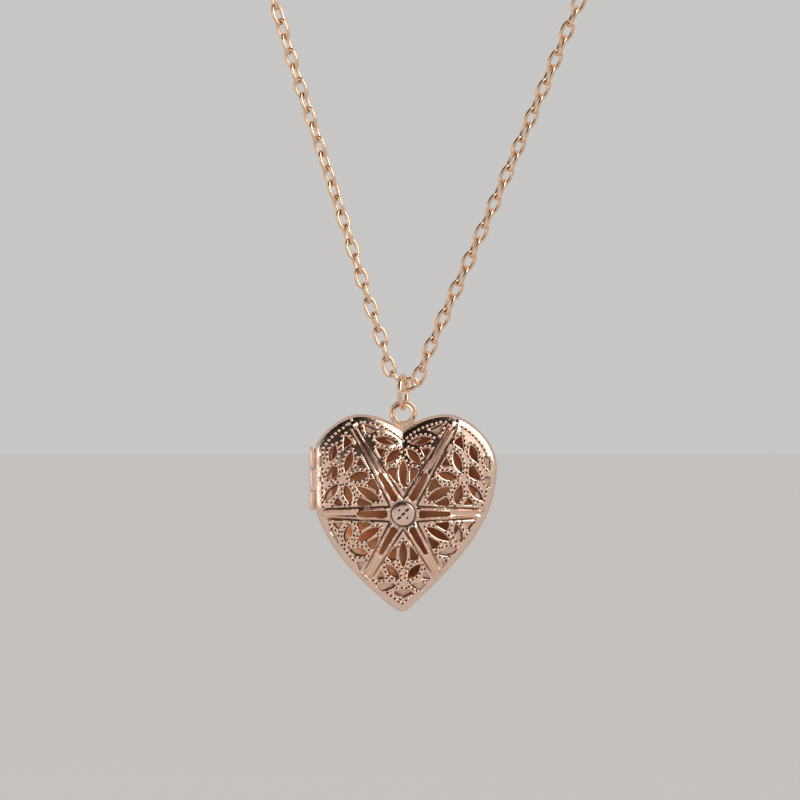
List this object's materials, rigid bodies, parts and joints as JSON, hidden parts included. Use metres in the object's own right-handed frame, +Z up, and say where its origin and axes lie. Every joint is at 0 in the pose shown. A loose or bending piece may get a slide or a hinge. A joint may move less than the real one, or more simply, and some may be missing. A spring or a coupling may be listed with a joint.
{
  "type": "locket",
  "caption": "Heart-shaped photo locket with a pierced, ribbed and domed cover, a plain back, a side hinge and a bail, hanging on a fine cable chain with a lobster clasp.",
  "frame": {"origin": "the neck line: midway over the locket, level with the upper ends of the chain that hold it up", "axes": "+X to the right as the face is seen, +Y from the face towards the back, +Z up along the hanging line"},
  "size_m": [0.053, 0.0067, 0.1002],
  "materials": {
    "rose_gold": "polished, with darker patina in the recesses",
    "warm_gold": "polished",
    "pink_plate": "satin",
    "spring_steel": "satin"
  },
  "bodies": {
    "chain": {"chain_left": "warm_gold", "chain_right": "warm_gold", "chain_link_left": "warm_gold", "chain_link_right": "warm_gold", "clasp_ring": "warm_gold", "clasp_body": "warm_gold", "clasp_pin": "warm_gold", "clasp_spring": "spring_steel", "end_ring": "warm_gold"},
    "lever": {"clasp_lever": "warm_gold"},
    "ring": {"jump_ring": "warm_gold"},
    "case": {"back_shell": "rose_gold", "back_photo_frame": "pink_plate", "hinge_knuckle_upper": "rose_gold", "hinge_knuckle_lower": "rose_gold", "hinge_pin": "warm_gold", "catch_tongue": "warm_gold", "bail": "warm_gold"},
    "cover": {"front_shell": "rose_gold", "front_photo_frame": "pink_plate", "hinge_knuckle_middle": "rose_gold"}
  },
  "joints": [
    {"name": "ring_swing", "type": "hinge", "parent": "chain", "child": "ring", "pos_m": [0, 0, -0.06885], "axis": [1, 0, 0], "range_deg": [-25, 12]},
    {"name": "locket_swing", "type": "hinge", "parent": "ring", "child": "case", "pos_m": [0, 0, -0.0732], "axis": [0.2164, 0.9763, 0], "range_deg": [-40, 40]},
    {"name": "cover_open", "type": "hinge", "parent": "case", "child": "cover", "pos_m": [-0.01295, 0, -0.08321], "axis": [0, 0, -1], "range_deg": [0, 170]},
    {"name": "lever_press", "type": "hinge", "parent": "chain", "child": "lever", "pos_m": [-0.01982, 0, -0.00659], "axis": [0, -1, 0], "range_deg": [0, 24], "stiffness_Nm_per_rad": 0.002, "springref_deg": -17.19, "deforming": ["clasp_spring"]}
  ]
}
